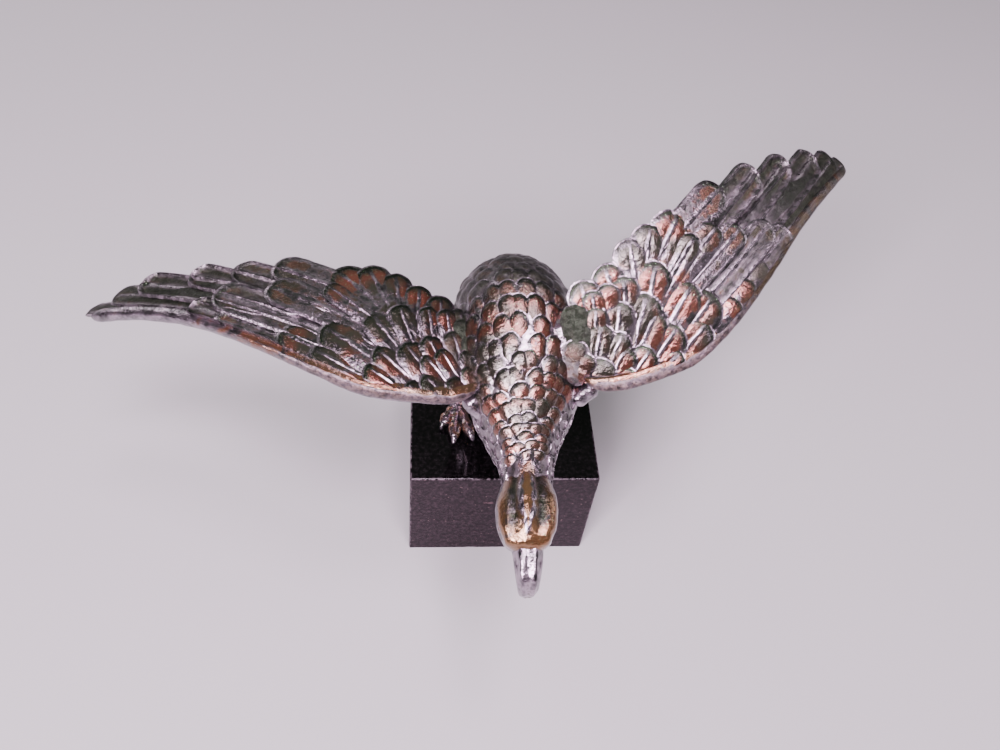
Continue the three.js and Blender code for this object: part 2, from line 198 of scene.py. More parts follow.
def cube_shell(steps):
    """Points and faces of a cube from -1 to 1, cut at the steps along each side."""
    count = len(steps)
    index = {}
    points = []
    faces = []

    def corner(place):
        key = tuple(np.round(place, 5))
        if key not in index:
            index[key] = len(points)
            points.append(place)
        return index[key]

    for axis in range(3):
        for side in (-1, 1):
            for i in range(count - 1):
                for j in range(count - 1):
                    ring = []
                    for a, b in ((i, j), (i + 1, j), (i + 1, j + 1), (i, j + 1)):
                        place = np.zeros(3)
                        place[axis] = side
                        place[(axis + 1) % 3] = steps[a]
                        place[(axis + 2) % 3] = steps[b]
                        ring.append(corner(place))
                    faces.append(ring if side > 0 else ring[::-1])
    return np.array(points), faces


flat_steps = np.linspace(-1, 1, 31)[1:-1] * 0.955
edge_steps = np.array([0.965, 0.975, 0.984, 0.992, 1])
block_points, block_faces = cube_shell(np.concatenate([-edge_steps[::-1], flat_steps, edge_steps]))
block_points = block_points * block_half
block_core = np.clip(block_points, -(block_half - block_edge), block_half - block_edge)
outside = block_points - block_core
reach = np.linalg.norm(outside, axis=1, keepdims=True)
near_edge = (np.sum(np.abs(outside) > 1e-6, axis=1) > 1)[:, None]
rounded = block_core + outside / np.maximum(reach, 1e-9) * block_edge
block_points = np.where(near_edge, rounded, block_points)
for row in np.flatnonzero(near_edge[:, 0]):
    spot = Vector(block_points[row])
    chip = chip_depth * max(noise.noise(spot * 0.9) - chip_start, 0) + fine_chips * noise.noise(spot * 3)
    block_points[row] -= outside[row] / max(reach[row, 0], 1e-9) * max(chip, 0)
block_points[:, 2] += block_half[2]
granite_block = mesh_object("granite_block", block_points * MM, block_faces)
granite_block.data.set_sharp_from_angle(angle=np.radians(60))

granite, tree, shader = shader_tree("black_granite")
place = put(tree, "ShaderNodeTexCoord").outputs["Object"]
axes = put(tree, "ShaderNodeSeparateXYZ", {0: place}).outputs
from_middle = (axes["X"], axes["Y"], maths(tree, "SUBTRACT", axes["Z"], block_half[2] * MM))
beyond = [
    maths(tree, "SUBTRACT", maths(tree, "ABSOLUTE", offset), half * MM)
    for offset, half in zip(from_middle, block_half)
]
pairs = [maths(tree, "MINIMUM", beyond[k], beyond[(k + 1) % 3]) for k in range(3)]
from_edge = maths(tree, "MAXIMUM", maths(tree, "MAXIMUM", pairs[0], pairs[1]), pairs[2])
grain = spots(tree, place, 900, 6, 0.65)
clouds = spots(tree, place, 160, 3)
flecks = put(tree, "ShaderNodeTexVoronoi", {"Vector": place, "Scale": 700.0}).outputs["Distance"]
edge_wear = product(tree, fade(tree, from_edge, -0.6 * MM, -0.12 * MM), fade(tree, grain, 0.4, 0.62))
on_top = fade(tree, axes["Z"], (block_top - 0.4) * MM, (block_top - 0.05) * MM)
grain_share = fade(tree, grain, 0.42, 0.68)
honed = blend_colours(tree, grain_share, *granite_colours["honed"])
polished = blend_colours(tree, grain_share, *granite_colours["polished"])
fleck_share = product(tree, fade(tree, flecks, 0.22, 0.1), fade(tree, clouds, 0.42, 0.62), 0.5)
honed = blend_colours(tree, fleck_share, honed, granite_colours["fleck"])
scratch = product(tree, fade(tree, grain, 0.35, 0.55), fade(tree, axes["Y"], -20 * MM, -25 * MM))
for axis, (middle, faded, full) in scratch_places.items():
    away = maths(tree, "ABSOLUTE", maths(tree, "SUBTRACT", axes[axis], middle * MM))
    scratch = product(tree, scratch, fade(tree, away, faded * MM, full * MM))
honed = blend_colours(tree, scratch, honed, granite_colours["scratch"])
stone = blend_colours(tree, on_top, honed, polished)
stone = blend_colours(tree, product(tree, edge_wear, 0.45), stone, granite_colours["worn edge"])
tree.links.new(stone, shader.inputs["Base Color"])
honed_rough = maths(tree, "MULTIPLY_ADD", grain_share, 0.12, 0.46)
gloss = put(tree, "ShaderNodeMix", {"Factor": on_top, "A": honed_rough, "B": 0.07}).outputs[0]
gloss = maths(tree, "MAXIMUM", gloss, product(tree, edge_wear, 0.6))
tree.links.new(gloss, shader.inputs["Roughness"])
pits = product(tree, grain, maths(tree, "SUBTRACT", 1.05, on_top))
bump = put(tree, "ShaderNodeBump", {"Height": pits, "Strength": 0.35, "Distance": 0.4 * MM})
tree.links.new(bump.outputs["Normal"], shader.inputs["Normal"])
shader.inputs["Specular IOR Level"].default_value = 0.14
granite_block.data.materials.append(granite)
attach(granite_block, "root")
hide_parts("granite_base")


# Body and neck of the casting.
# The bird is one zinc casting, plated over copper and worn. Its back is humped, rough
# over the rump, and the neck reaches forward and down. Small scale feathers cover it.

bird_lean, bird_turn = np.radians([5, 3])
body_line = [
    # back y and z, belly y and z, half width, x of the middle
    (17, 62, 11, 56, 5.5, 0),
    (14.5, 72.5, 7, 55, 9.5, 0),
    (9, 84.5, 1, 54, 12.8, 0),
    (0, 93, -6, 54, 15, -0.3),
    (-10, 96, -13, 55, 15, 0.1),
    (-21, 92.2, -23, 57.5, 14.6, 0.7),
    (-31, 86.6, -33, 61, 11.6, 0.4),
    (-38.5, 82, -41, 64, 7.9, 0.1),
    (-44.5, 79.3, -46, 66.5, 6, 0.2),
    (-49.5, 77.6, -50, 67.2, 5.3, 0.1),
    (-54, 77, -54, 67.5, 4.6, -0.2),
]
# coarse and fine lumps on the rump: height, size and seed
rump_lumps = ((0.7, 2.6, 3.1), (0.4, 1.1, 7.7))
flank_flattened = 1.5
tone_names = ("relief", "grain", "gold", "patina_and_shade")
cast = {key: [] for key in ("points", "faces", *tone_names)}


def pour(points, faces, relief=0.3, grain=0.0, gold=0.0, patina_and_shade=0.0):
    """Adds a closed form to the casting, with its faces turned outward."""
    start = sum(len(part) for part in cast["points"])
    flat = points.reshape(-1, 3)
    volume = 0.0
    for face in faces:
        a = flat[face[0]]
        for k in range(1, len(face) - 1):
            volume += np.dot(a, np.cross(flat[face[k]], flat[face[k + 1]]))
    if volume < 0:
        faces = [face[::-1] for face in faces]
    cast["points"].append(flat)
    cast["faces"].extend([[corner + start for corner in face] for face in faces])
    for key, value in zip(tone_names, (relief, grain, gold, patina_and_shade)):
        cast[key].append(np.broadcast_to(np.asarray(value, float), len(flat)).copy())


def ring_faces(around, rings):
    """Faces of a form whose first point is one pole, then its rings, then the other pole."""
    faces = []
    last = 1 + around * rings
    for k in range(around):
        after = (k + 1) % around
        faces.append([0, 1 + after, 1 + k])
        faces.append([last, last - around + k, last - around + after])
        for ring in range(rings - 1):
            low = 1 + ring * around
            faces.append([low + k, low + after, low + around + after, low + around + k])
    return faces


def ring_form(rings, place):
    """Points and faces of a closed form from place(t, side, up), with its rings at rings["t"]."""
    around = rings["around"]
    angle = np.linspace(0, 2 * np.pi, around, endpoint=False)
    t = rings["t"][:, None] + 0 * angle
    side, up = np.sin(angle) + 0 * t, np.cos(angle) + 0 * t
    pole = np.zeros(1)
    parts = [
        place(pole, pole, pole).reshape(-1, 3),
        place(t.ravel(), side.ravel(), up.ravel()).reshape(-1, 3),
        place(pole + 1, pole, pole).reshape(-1, 3),
    ]
    return np.vstack(parts), ring_faces(around, len(rings["t"]))


def even_rings(around, along):
    return {"around": around, "t": np.linspace(0, 1, along + 1)[1:-1]}


def ring_spots(rings):
    """t and angle of each point of a form between its two poles."""
    angle = np.linspace(0, 2 * np.pi, rings["around"], endpoint=False)
    return np.repeat(rings["t"], rings["around"]), np.tile(angle, len(rings["t"]))


def with_poles(values, first=0.0, last=0.0):
    """One value for each point of a form, from those between its poles."""
    return np.concatenate([[first], np.ravel(values), [last]])


def curve_through(points):
    """A smooth curve through points, by the square root of their distances."""
    points = np.array(points, float)
    held = np.vstack([2 * points[0] - points[1], points, 2 * points[-1] - points[-2]])
    spans = len(points) - 1

    def at(t):
        along = np.clip(np.asarray(t, float), 0, 1) * spans
        span = np.minimum(along.astype(int), spans - 1)
        s = (along - span)[..., None]
        p0, p1, p2, p3 = (held[span + k] for k in range(4))
        d0, d1, d2 = (
            np.sum((b - a) ** 2, axis=-1, keepdims=True) ** 0.25
            for a, b in ((p0, p1), (p1, p2), (p2, p3))
        )
        m1 = ((p1 - p0) / d0 - (p2 - p0) / (d0 + d1) + (p2 - p1) / d1) * d1
        m2 = ((p2 - p1) / d1 - (p3 - p1) / (d1 + d2) + (p3 - p2) / d2) * d1
        low_powers = p1 + m1 * s + (3 * (p2 - p1) - 2 * m1 - m2) * s ** 2
        return low_powers + (2 * (p1 - p2) + m1 + m2) * s ** 3

    return at


def unit(vectors):
    return vectors / np.linalg.norm(vectors, axis=-1, keepdims=True)


def lerp(first, last, share):
    return first + (last - first) * share


def station_surface(line):
    """Places points by t along the line, turn around it from the top, and lift above it."""
    backs = curve_through([(m, by, bz) for by, bz, _, _, _, m in line])
    bellies = curve_through([(m, vy, vz) for _, _, vy, vz, _, m in line])
    widths = curve_through([(k, station[4], 0) for k, station in enumerate(line)])
    sideways = np.array([np.cos(bird_lean), 0, np.sin(bird_lean)])

    def at(t, turn, lift=0.0, spread=1.0):
        back = backs(t)
        upward = (back - bellies(t)) / 2
        centre = back - upward
        half_width = widths(t)[..., 1] * spread + lift
        half_height = np.linalg.norm(upward, axis=-1) * spread + lift
        up = unit(upward)
        up = unit(up - (up @ sideways)[..., None] * sideways)
        return (
            centre
            + (half_width * np.sin(turn))[..., None] * sideways
            + (half_height * np.cos(turn))[..., None] * up
        )

    return at


def round_ends(t, share):
    """1 along the middle, falling to 0 in a quarter circle over each end's share."""
    end = np.clip(np.minimum(t, 1 - t) / share, 0, 1)
    return np.sqrt(np.maximum(0, 1 - (1 - end) ** 2))


def smooth(value, low, high):
    share = np.clip((value - low) / (high - low), 0, 1)
    return share * share * (3 - 2 * share)


def bell(value, middle, width):
    """1 at the middle, falling off smoothly on both sides of it."""
    return np.exp(-(((value - middle) / width) ** 2))


def lumps(points, size, seed):
    """A rolling noise from about -1 to 1 at each point."""
    shift = Vector((seed, 2 * seed, 3 * seed))
    return np.array([noise.noise(Vector(p) / size + shift) for p in points])


body_at = station_surface(body_line)


def body_skin(t, side, up):
    turn = np.arctan2(side, up)
    bare = body_at(t, turn, 0, round_ends(t, 0.1))
    rough = (1 - smooth(t, 0.3, 0.46)) * round_ends(t, 0.12)
    lift = rough * sum(height * lumps(bare, size, seed) for height, size, seed in rump_lumps)
    # the bird's right flank is flatter than its left one
    lift = lift - flank_flattened * bell(turn, -0.85, 0.38) * bell(t, 0.2, 0.13)
    return body_at(t, turn, lift, round_ends(t, 0.1))


body_points, body_faces = ring_form(even_rings(64, 90), body_skin)
over_rump = smooth(body_points[:, 1], -13, -1)
down_neck = smooth(-body_points[:, 1], 26, 36)
nape = bell(body_points[:, 0], 0, 3) * smooth(-body_points[:, 1], 39, 43) * (body_points[:, 2] > 72)
pour(
    body_points, body_faces,
    relief=0.12 + 0.5 * nape,
    grain=0.9 * over_rump + 0.45 * down_neck * (1 - nape),
    gold=0.35 * down_neck,
    patina_and_shade=0.15 * over_rump,
)


# Scale feathers on the back.
# Rows of small round-tipped feathers in relief, their free ends towards the tail,
# smaller towards the head. Over the rump they are low and rough.

back_length = 104
back_rows = {"first": 0.12, "last": 0.82, "pitch": 3.7}
back_scale = {"length": 6.4, "width": 4.6, "dome": 1.05}
fan_places, fan_degrees = (0.2, 0.5, 0.6, 0.7, 0.9), (170, 170, 140, 110, 100)
casting_chance = np.random.default_rng(11)
lobed_across = np.array([0, 0.07, 0.14, 0.22, 0.36, 0.52, 0.68, 0.8, 0.88, 0.93, 1])
plain_across = np.array([0, 0.3, 0.55, 0.74, 0.87, 1])
lip = 0.92


def leaf(
    tip, angle, length, width, surface, root_sink, tip_rise, dome, under, rings,
    shaft=0.0, roll=0.0, hollow=0.0, tones=None,
):
    """One feather: a leaf in two lobes along a shaft, domed, or hollow inside raised lips."""
    half_across = lobed_across if shaft > 0 else plain_across
    across_top = np.concatenate([half_across[::-1], -half_across[1:]])
    across_low = np.cos(np.linspace(np.pi, 2 * np.pi, 5))[1:-1]
    u = np.concatenate([across_top, across_low])[None, :]
    on_top = np.arange(u.shape[1])[None, :] < len(across_top)
    t = np.linspace(0, 1, rings + 2)[1:-1, None]
    from_tip = length * (1 - np.sin(t * np.pi / 2))
    to_tip = 1 - np.minimum(from_tip / (0.52 * width), 1)
    root_part = np.clip((from_tip / length - 0.88) / 0.12, 0, 1)
    spread = np.sqrt(1 - to_tip ** 2) * np.sqrt(1 - 0.96 * root_part ** 2)
    from_middle = np.sqrt(u ** 2 * (1 - to_tip ** 2) + to_tip ** 2)
    crown = 0.1 + 0.9 * (1 - np.minimum(from_middle / lip, 1) ** 2.3)
    along_shaft = shaft * smooth(from_tip, 0.12 * width, 0.5 * width)
    valley = along_shaft * bell(u, 0, 0.2)
    ridge = along_shaft * (0.95 + 0.5 * hollow) * bell(u, 0, 0.09 + 0.08 * hollow)
    crown = lerp(crown, 0.1 + 0.9 * bell(from_middle, 0.86, 0.13), hollow)
    low_side = -under * np.sqrt(np.maximum(0, 1 - from_middle ** 2))
    rise = tip_rise + (root_sink - tip_rise) * from_tip / length + roll * u * spread
    height = rise + np.where(on_top, dome * (crown - valley + ridge), low_side)
    bend = np.radians(angle)
    outward = np.array([np.cos(bend), np.sin(bend)])
    sideways = np.array([outward[1], -outward[0]])
    half = width / 2 * spread * u
    plan = [tip[axis] - outward[axis] * from_tip + sideways[axis] * half for axis in (0, 1)]
    root = [tip[axis] - outward[axis] * length for axis in (0, 1)]
    out, back = (with_poles(plan[axis], root[axis], tip[axis]) for axis in (0, 1))
    height = with_poles(height, root_sink, tip_rise)
    inside = np.clip((lip - 0.16 * hollow - from_middle) / (0.4 - 0.22 * hollow), 0, 1) ** 0.8
    relief = inside * (1 - bell(u, 0, 0.11 + 0.13 * hollow) * (along_shaft > 0))
    # Painted shade: a dark green band just inside each lip, partly patina, and a darkened tip end where
    # the feather turns away from the light.
    ring = smooth(inside, 0, 0.15) * (1 - smooth(inside, 0.45, 1)) * (0.3 + 0.7 * smooth(to_tip, 0, 0.5))
    worn_end = 1 - 0.45 * smooth(from_tip, 0.5 * width, 1.1 * width)
    shade = np.maximum(ring, 0.85 * inside ** 0.5 * smooth(to_tip, 0.1, 0.7))
    worn, shade, between = (
        with_poles(np.where(on_top, mask, 0.1)) for mask in (relief * worn_end, shade, relief)
    )
    tones = dict(tones or {})
    even = tones.pop("even", 0.2)
    spread_tone = even + (1 - even) * between
    tones["relief"] = worn * tones.get("relief", 1)
    tones["patina_and_shade"] = np.maximum(shade, spread_tone * tones.get("patina_and_shade", 0))
    tones["grain"] = (0.1 + 0.9 * spread_tone) * tones.get("grain", 0)
    pour(surface(out, back, height), ring_faces(u.shape[1], rings), **tones)


def body_width(t):
    return np.interp(t, np.linspace(0, 1, len(body_line)), [station[4] for station in body_line])


row_t = back_rows["first"]
row = 0
while row_t < back_rows["last"]:
    round_here = body_width(row_t)
    small = np.clip(round_here / 9, 0.86, 1)
    fan = np.radians(np.interp(row_t, fan_places, fan_degrees))
    count = int(round(fan * round_here / (back_scale["width"] * small))) + row % 2
    on_rump = float(1 - smooth(row_t, 0.33, 0.46))
    # Painted shade on the rows behind the top of the hump, where the back slopes away from the light.
    shaded = float(1 - smooth(row_t, 0.38, 0.56))
    for k in range(count):
        nudge, swell = casting_chance.uniform(-1, 1, 2)
        turn = fan * ((k + 0.5 + 0.2 * nudge) / count - 0.5)

        def on_back(out, back, height, t=row_t, turn=turn, round_here=round_here):
            return body_at(t - back / back_length, turn + out / round_here, height)

        leaf(
            (0, 0.5 * swell), 90 + 12 * nudge - 10 * turn, back_scale["length"] * small,
            back_scale["width"] * small * (1.22 + 0.14 * swell), on_back,
            root_sink=-1.15, tip_rise=0.45 - 0.25 * on_rump, under=0.9, rings=10,
            dome=back_scale["dome"] * (0.55 + 0.45 * small) * (1 - 0.4 * on_rump) * (1 + 0.15 * nudge),
            tones={"grain": 0.7 * on_rump, "relief": 1 - 0.5 * on_rump, "patina_and_shade": 0.5 * shaded},
        )
    row_t += back_rows["pitch"] * small / back_length
    row += 1


# Rings on the sides of the neck.
# Thin raised rings, the outlines of scales that were left flat.

ring_rows = {"first": 0.6, "last": 0.88, "count": 6, "turns": (68, 96, 124)}
ring_radius, ring_wire = 1.7, 0.17


def torus_points(centre, axis_u, axis_v, normal, radius, wire, around, section):
    a, b = np.meshgrid(
        np.linspace(0, 2 * np.pi, around, endpoint=False),
        np.linspace(0, 2 * np.pi, section, endpoint=False),
        indexing="ij",
    )
    reach = radius + wire * np.cos(b)
    points = (
        centre
        + (reach * np.cos(a))[..., None] * axis_u
        + (reach * np.sin(a))[..., None] * axis_v
        + (wire * np.sin(b))[..., None] * normal
    )
    faces = []
    for i in range(around):
        for j in range(section):
            i2, j2 = (i + 1) % around, (j + 1) % section
            faces.append([i * section + j, i2 * section + j, i2 * section + j2, i * section + j2])
    return points.reshape(-1, 3), faces


for k in range(ring_rows["count"]):
    t = ring_rows["first"] + (ring_rows["last"] - ring_rows["first"]) * k / (ring_rows["count"] - 1)
    for step, degrees in enumerate(ring_rows["turns"]):
        for side in (-1, 1):
            nudge, swell = casting_chance.uniform(-1, 1, 2)
            ring_t = t + (step % 2) * 0.024 + 0.006 * nudge
            turn = side * np.radians(degrees + 5 * swell)
            radius = ring_radius * (1 + 0.18 * swell)
            centre = body_at(ring_t, turn, 0.02)
            along = unit(body_at(ring_t + 0.01, turn) - body_at(ring_t - 0.01, turn))
            around_it = unit(body_at(ring_t, turn + 0.05) - body_at(ring_t, turn - 0.05))
            normal = unit(np.cross(along, around_it))
            pour(*torus_points(centre, along, around_it, normal, radius, ring_wire, 20, 5), relief=0.0)


# Head.
# A pear-shaped head with a ridge and two grooves over the crown, full brows, a hood
# that stands over the beak, and a hooked beak that points down.

head_line = [
    (-46.5, 76, -47, 68, 4, 0.1),
    (-51.5, 78, -51, 66.8, 5.8, -0.2),
    (-56.5, 78.8, -55, 65.8, 6.8, -0.5),
    (-61, 77.8, -58.5, 65.6, 6.6, -0.6),
    (-64.6, 75.6, -61.5, 66, 5.2, -0.7),
    (-67.3, 73, -64, 66.8, 3.8, -0.7),
]
beak_line = [
    (-58, 74.4, -57, 67, 3.4, -0.7),
    (-63.5, 74, -62, 66.4, 3.4, -0.7),
    (-68.2, 72.4, -66.5, 66, 3.1, -0.7),
    (-71.4, 70, -69.4, 65.4, 2.6, -0.7),
    (-72.6, 66, -70.4, 63.8, 2.1, -0.6),
    (-71.8, 62.4, -71.2, 62.4, 1.2, -0.5),
]
head_middle = -0.6
eye_place = (5.1, -60.2, 71.2)
eye_radius = 1.2
head_at = station_surface(head_line)
beak_at = station_surface(beak_line)


def rib_place(t):
    """How far round from the top of the head the two thin ribs run; they meet at both ends."""
    return 0.03 + 0.19 * smooth(t, 0.02, 0.3) * (1 - smooth(t, 0.4, 0.78))


def crown_lift(t, turn):
    off = np.abs(turn)
    along = smooth(t, 0.02, 0.12) * (1 - smooth(t, 0.68, 0.8))
    rib = 0.4 * bell(off, rib_place(t), 0.07)
    hollow = -0.6 * bell(off, 0.46, 0.17)
    brow = 0.5 * bell(off, 0.95, 0.3) * smooth(t, 0.2, 0.5) * (1 - smooth(t, 0.85, 0.97))
    bulges = 0.6 * bell(off, 0.72, 0.3) * smooth(t, 0.55, 0.72) * (1 - smooth(t, 0.88, 1))
    socket = -0.5 * bell(off, 1.4, 0.2) * smooth(t, 0.3, 0.5) * (1 - smooth(t, 0.7, 0.85))
    return along * (rib + hollow) + brow + bulges + socket


def head_skin(t, side, up):
    turn = np.arctan2(side, up)
    return head_at(t, turn, crown_lift(t, turn) * round_ends(t, 0.15), round_ends(t, 0.17))


def ball(middle, radius, pole_axis):
    """Points and faces of a ball whose poles lie along the given axis."""
    def at(t, side, up):
        flat = np.sin(np.pi * t)
        place = [flat * side, flat * up]
        place.insert(pole_axis, np.cos(np.pi * t))
        return middle + radius * np.stack(place, axis=-1)

    return ring_form(even_rings(24, 16), at)


head_rings = even_rings(72, 60)
head_points, head_faces = ring_form(head_rings, head_skin)
head_t, head_turn = ring_spots(head_rings)
head_t, head_turn = with_poles(head_t, 0, 1), with_poles(head_turn)
off_crown = np.abs(np.arctan2(np.sin(head_turn), np.cos(head_turn)))
crowned = (1 - smooth(off_crown, 0.95, 1.2)) * smooth(head_t, 0.02, 0.1)
ribbed = bell(off_crown, rib_place(head_t), 0.07) * (1 - smooth(head_t, 0.7, 0.8))
shaded = bell(off_crown, 0.5, 0.24) * (1 - smooth(head_t, 0.62, 0.76))
hooded = smooth(head_t, 0.72, 0.82)
pour(
    head_points, head_faces,
    relief=crowned * (1 - ribbed) * (1 - 0.45 * shaded),
    gold=crowned * (1 - 0.5 * shaded),
    patina_and_shade=shaded * crowned,
    grain=0.4 * (1 - crowned) * (1 - hooded),
)


def beak_skin(t, side, up):
    turn = np.arctan2(side, up)
    off = np.abs(turn)
    facet = round_ends(t, 0.2) * (0.4 * bell(off, 0.5, 0.22) - 0.25 * bell(turn, 0, 0.2))
    nostril = -0.5 * bell(off, 1, 0.22) * bell(t, 0.42, 0.05)
    mouth = -0.35 * bell(off, 2.1, 0.1) * (1 - smooth(t, 0.75, 0.9))
    return beak_at(t, turn, facet + nostril + mouth, round_ends(t, 0.12))


beak_points, beak_faces = ring_form(even_rings(48, 44), beak_skin)
beak_end = 1 - smooth(beak_points[:, 2], 63.4, 65)
pour(beak_points, beak_faces, relief=0.2 + 0.5 * beak_end, gold=0.8 * beak_end, patina_and_shade=0.6 * beak_end)

for side in (-1, 1):
    eye_middle = np.array([head_middle + side * eye_place[0], *eye_place[1:]])
    pour(*ball(eye_middle, eye_radius, 1), relief=0.5)


# Wings.
# Each wing is laid out flat, out and back from the shoulder, and arched down towards the
# tip, with a rounded rim along the front and rows of overlapping feathers behind it.

shoulder_place = np.array([1.6, -30.4, 80])
shoulder_half_width = 13.2
wing_arch_radius = 113
wing_length = 100
skin_front, skin_rear = 2.6, 0.5
wrist_out, wrist_reach = 38, 28
wing_angles = {
    "left": {"side": 1, "sweep": 22, "raised": 28, "pitch": 46, "bulge": 1.3},
    "right": {"side": -1, "sweep": 21, "raised": 26, "pitch": 8.5, "bulge": 0},
}
# The rims' radii at the shoulder and at the tip, how far forward their stippled face
# begins, and how far their outer half has browned.
rims = {
    "left": {"radii": (2.5, 1.3), "face": -0.05, "browned": 1.0},
    "right": {"radii": (2.1, 1.4), "face": 0.45, "browned": 0.2},
}
leading_edge = [
    (0, -0.3), (5, -4.4), (12, -7.4), (22, -10.4), (34, -10), (50, -8), (68, -6.4), (84, -7),
    (97, -8.4),
]
slab_trailing_edge = [(0, 12), (12, 15), (30, 13), (46, 10), (62, 6), (78, 1), (92, -5)]
shoulder_muscles = [
    ((0, 2, -4), (9.6, 17.4, -2.8), 5.4, 3.6),
    ((-8, 7, -4.5), (7, 15, -3.4), 4.6, 3.8),
    ((1.4, -0.7, -0.4), (-5, -0.8, -2.6), 2, 2.4),
]
# Feathers are made longer and wider than their spacing, to lie under their neighbours.
underlap, side_overlap = 1.35, 1.22
# Rows from the trailing edge forward: how high the row stands, how long its feathers are
# at the distances out given, and the tip and width of each feather.
wing_rows = {
    "left": [
        (0, ((14, 42, 55, 100), (13, 20, 26, 44)), [
            (13, 20.6, 6.6), (19.6, 20, 6.4), (27.6, 20.6, 7), (33.7, 19.8, 6.8), (41.2, 17.2, 8),
            (53.8, 14.9, 7.2), (65.4, 11.8, 7), (75.4, 7.8, 7), (85.6, 2.6, 7.2), (93.4, -2.2, 7),
            (96.4, -5.6, 5.4),
        ]),
        (0.6, ((13, 30, 45, 60), (7, 12, 20, 28)), [
            (8.4, 17.4, 5.2), (13.7, 17.4, 5), (17.3, 16.4, 4.8), (21.3, 15.3, 6.2), (29.2, 12.9, 7.6),
            (40.3, 11.2, 5.4), (46.3, 9.2, 6), (50.8, 5, 6), (57.8, 0.6, 6.2), (61, -3.2, 6),
        ]),
        (0.8, ((8, 32), (8, 15)), [
            (7, 14, 5), (12.2, 14.1, 5.4), (17.2, 11.5, 6.6), (23, 9, 8.4), (32.8, 3.6, 8),
            (50, -4.6, 4.4),
        ]),
        (1, ((8, 35), (8, 15)), [
            (4.6, 11, 5), (11, 10.4, 6.4), (13.4, 5.9, 5.6), (22.3, 4.6, 8), (35.1, -1.4, 7.6),
            (44.4, -5, 4.4),
        ]),
        (1.2, ((5, 30), (6.5, 12)), [
            (4.6, 7.2, 5), (7.2, 3.4, 6.4), (12.4, 2.9, 7), (16.2, -1, 5.8), (24, -1.1, 7.4),
            (29.6, -4.6, 6.6), (38.6, -5.6, 4),
        ]),
        (1.4, ((5, 24), (6, 8)), [(4.6, -0.2, 5), (10.4, -2.4, 5.6), (20.6, -5.6, 5)]),
    ],
    "right": [
        (0, ((14, 42, 55, 100), (12, 20, 26, 44)), [
            (10.5, 19.6, 5.4), (15.8, 20.7, 6), (21.4, 20.9, 6), (27.8, 21.6, 6.4), (34.6, 20.9, 7.2),
            (41, 17, 8.4), (54.8, 13.8, 7.6), (63.6, 10.3, 6.8), (73.6, 7.1, 6.8), (86.2, 2.8, 6.8),
            (92.8, -1, 6), (98.8, -6.4, 5.4),
        ]),
        (0.6, ((13, 28, 52, 67), (7, 12, 25, 31)), [
            (9, 17, 5), (13.4, 17.4, 5), (17.6, 15.9, 5.4), (23.8, 13.2, 6.6), (28.6, 8.4, 7.2),
            (40.5, 11.6, 5.2), (52.8, 7, 7.6), (63.8, 2.2, 8), (67.6, -2.6, 6.6),
        ]),
        (0.8, ((8, 36, 60), (7, 15, 18)), [
            (6.4, 13.4, 5), (10.6, 12.3, 5.4), (15.2, 8.2, 5.8), (19.2, 4.2, 7.4), (36.8, 0.8, 9),
            (59.8, -5, 5),
        ]),
        (1, ((7, 44), (7, 16)), [
            (6.2, 9, 5), (11.4, 6.4, 5.4), (14, 3.2, 5.8), (24.2, 0.2, 7), (44.6, -4, 8),
        ]),
        (1.2, ((5, 36), (6, 14)), [
            (4.8, 5, 5), (7.2, 0.2, 5.8), (12.6, -1.6, 6.8), (24.4, -5.2, 6), (36.2, -5.8, 7),
        ]),
        (1.4, ((5, 20), (6, 8)), [(5.4, -2.6, 5), (15, -5.4, 5)]),
    ],
}
wing_samples = np.linspace(0, 1, 400)
edge_curve = curve_through([(*place, 0) for place in leading_edge])
edge_samples = edge_curve(wing_samples)
trailing_samples = curve_through([(*place, 0) for place in slab_trailing_edge])(wing_samples)


def edge_back(out):
    """How far back the leading edge lies at a distance out."""
    return np.interp(out, edge_samples[:, 0], edge_samples[:, 1])


def wing_skin(out, back):
    """How thick the wing is above its flat plan."""
    to_back = np.clip((back + 9) / 28, 0, 1)
    to_tip = np.clip(out / wing_length, 0, 1)
    return lerp(skin_front, skin_rear, to_back) * lerp(1, 0.5, to_tip)


def turn_matrix(axis, angle):
    return np.array(Matrix.Rotation(angle, 3, axis))


def wing_placer(side, sweep, raised, pitch, bulge):
    turned = (
        turn_matrix("Z", np.radians(sweep))
        @ turn_matrix("Y", -np.radians(raised))
        @ turn_matrix("X", np.radians(pitch))
    )
    bird = turn_matrix("Z", bird_turn) @ turn_matrix("Y", -bird_lean)

    def at(out, back, height):
        out, back, height = (np.asarray(value, float) for value in (out, back, height))
        arch = -out / wing_arch_radius
        near_wrist = bell(out, wrist_out, wrist_reach)
        near_front = np.clip(-back / 8, 0, 1)
        flat = np.stack([
            -np.sin(arch) * (wing_arch_radius + height),
            back - bulge * near_wrist * near_front,
            -(1 - np.cos(arch)) * wing_arch_radius + height * np.cos(arch),
        ], axis=-1)
        spot = flat @ turned.T
        spot[..., 0] = side * (spot[..., 0] + shoulder_half_width)
        return spot @ bird.T + shoulder_place

    return at


def feather_angle(out, back):
    """Where a feather points, in degrees back from straight out along the wing."""
    to_back = np.clip((back + 10) / 31, 0, 1) ** 1.3
    inner = 1 - smooth(out, 18, 54)
    outer = lerp(4, -4, smooth(out, 75, 100))
    return outer + (74 - outer) * to_back * inner


def limb(start, end, start_radius, end_radius, around, along, ripple=None, **tones):
    """A tapering limb between two points, rounded at both ends."""
    start, end = np.array(start, float), np.array(end, float)
    forward = unit(end - start)
    hint = np.array([0, 1, 0]) if abs(forward[0]) > 0.9 else np.array([1, 0, 0])
    sideways = unit(np.cross(hint, forward))
    upward = np.cross(forward, sideways)

    def at(t, side, up):
        radius = lerp(start_radius, end_radius, t) * round_ends(t, 0.22)
        if ripple:
            radius = radius * (1 + ripple(t, np.arctan2(side, up)))
        return (
            start
            + t[..., None] * (end - start)
            + (side * radius)[..., None] * sideways
            + (up * radius)[..., None] * upward
        )

    points, faces = ring_form(even_rings(around, along), at)
    pour(points, faces, **tones)


